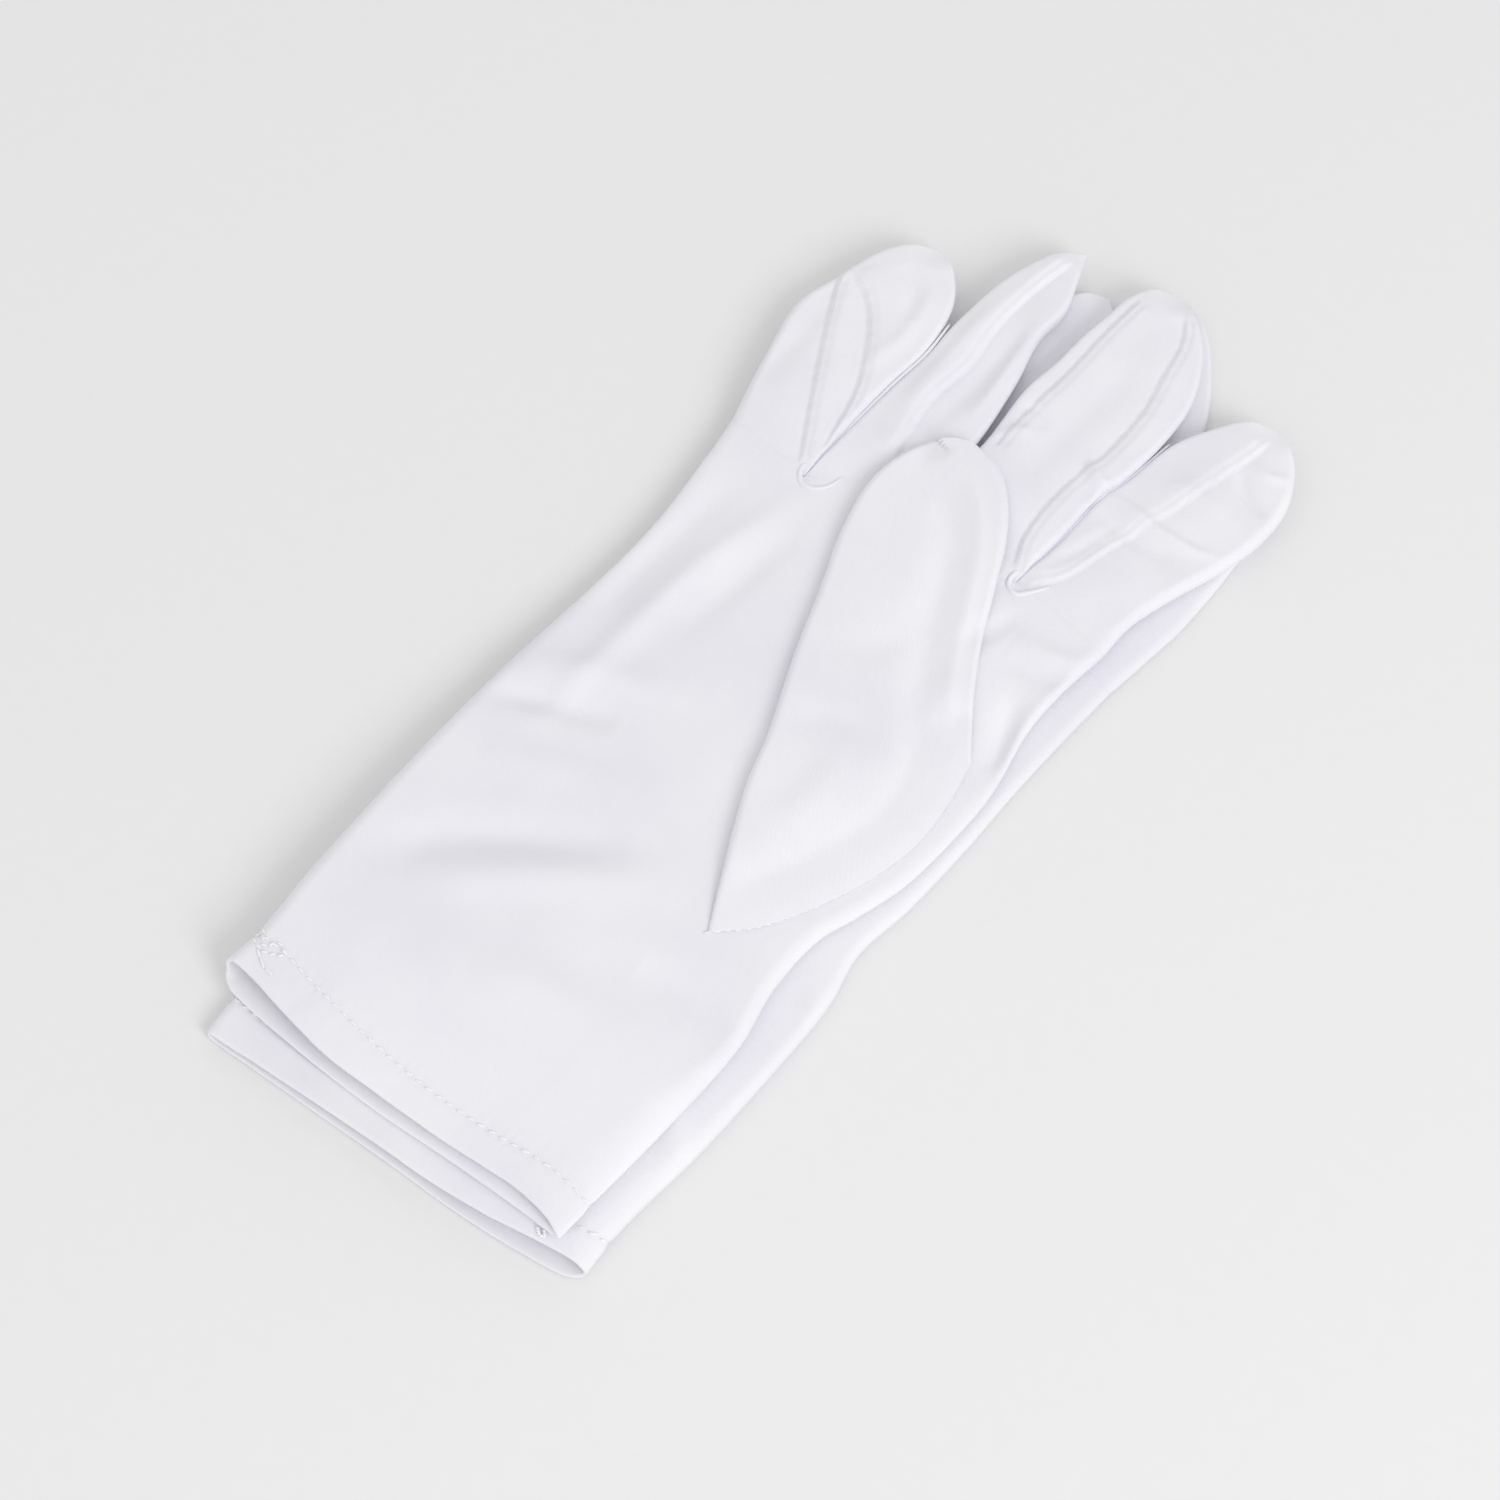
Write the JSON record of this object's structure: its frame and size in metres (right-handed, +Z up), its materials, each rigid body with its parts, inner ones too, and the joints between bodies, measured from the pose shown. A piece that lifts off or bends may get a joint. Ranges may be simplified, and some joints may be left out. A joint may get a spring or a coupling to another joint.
{
  "type": "pair of dress gloves",
  "caption": "Plain white stretch-knit wrist-length dress gloves lying flat as a pair: a right glove palm up, thumb folded over the palm, on a left glove palm down.",
  "frame": {"origin": "middle of the underside of the pair's bounding box, on the surface it lies on", "axes": "+X across the gloves towards the thumb side, +Y from the cuffs to the fingertips, +Z up from the surface"},
  "size_m": [0.1086, 0.2456, 0.0163],
  "materials": {
    "knit": "fine stretch tricot knit, soft low sheen",
    "hem": "the same knit, turned up double",
    "fourchette": "the same knit, cut in narrow strips",
    "thread": "spun polyester sewing thread"
  },
  "bodies": {
    "left_glove": {"left_back_panel": "knit", "left_palm_panel": "knit", "left_back_hem": "hem", "left_palm_hem": "hem", "left_hem_thread": "thread", "left_side_seam": "thread", "left_little_back": "knit", "left_little_front": "knit", "left_ring_back": "knit", "left_ring_front": "knit", "left_middle_back": "knit", "left_middle_front": "knit", "left_index_back": "knit", "left_index_front": "knit", "left_little_ring_crotch": "fourchette", "left_little_ring_web_a": "fourchette", "left_little_ring_web_b": "fourchette", "left_ring_middle_crotch": "fourchette", "left_ring_middle_web_a": "fourchette", "left_ring_middle_web_b": "fourchette", "left_middle_index_crotch": "fourchette", "left_middle_index_web_a": "fourchette", "left_middle_index_web_b": "fourchette", "left_thumb": "knit"},
    "right_glove": {"right_palm_panel": "knit", "right_back_panel": "knit", "right_palm_hem": "hem", "right_back_hem": "hem", "right_hem_thread": "thread", "right_side_seam": "thread", "right_little_root_front": "knit", "right_little_root_back": "knit", "right_ring_root_front": "knit", "right_ring_root_back": "knit", "right_middle_root_front": "knit", "right_middle_root_back": "knit", "right_index_root_front": "knit", "right_index_root_back": "knit", "right_little_ring_crotch": "fourchette", "right_ring_middle_crotch": "fourchette", "right_middle_index_crotch": "fourchette", "right_thumb_gusset": "knit"},
    "right_thumb": {"right_thumb_front": "knit", "right_thumb_back": "knit", "right_thumb_seam": "thread"},
    "right_little": {"right_little_front": "knit", "right_little_back": "knit", "right_little_ring_web_a": "fourchette"},
    "right_ring": {"right_ring_front": "knit", "right_ring_back": "knit", "right_little_ring_web_b": "fourchette", "right_ring_middle_web_a": "fourchette"},
    "right_middle": {"right_middle_front": "knit", "right_middle_back": "knit", "right_ring_middle_web_b": "fourchette", "right_middle_index_web_a": "fourchette"},
    "right_index": {"right_index_front": "knit", "right_index_back": "knit", "right_middle_index_web_b": "fourchette"}
  },
  "joints": [
    {"name": "right_glove_lift", "type": "slide", "parent": "left_glove", "child": "right_glove", "axis": [0, 0, 1], "range_m": [0, 0.08]},
    {"name": "right_thumb_fold", "type": "hinge", "parent": "right_glove", "child": "right_thumb", "pos_m": [0.03118, -0.01855, 0.01029], "axis": [0.2876, 0.9532, -0.0933], "range_deg": [0, 90]},
    {"name": "right_little_fold", "type": "hinge", "parent": "right_glove", "child": "right_little", "pos_m": [-0.03759, 0.05281, 0.0074], "axis": [0.9554, 0.2954, 0], "range_deg": [0, 90]},
    {"name": "right_ring_fold", "type": "hinge", "parent": "right_glove", "child": "right_ring", "pos_m": [-0.01615, 0.07271, 0.0074], "axis": [0.9979, 0.0649, 0], "range_deg": [0, 90]},
    {"name": "right_middle_fold", "type": "hinge", "parent": "right_glove", "child": "right_middle", "pos_m": [0.00735, 0.07272, 0.0074], "axis": [1, -0.0043, 0], "range_deg": [0, 90]},
    {"name": "right_index_fold", "type": "hinge", "parent": "right_glove", "child": "right_index", "pos_m": [0.03253, 0.05979, 0.0074], "axis": [0.9867, -0.1626, 0], "range_deg": [0, 90]}
  ]
}
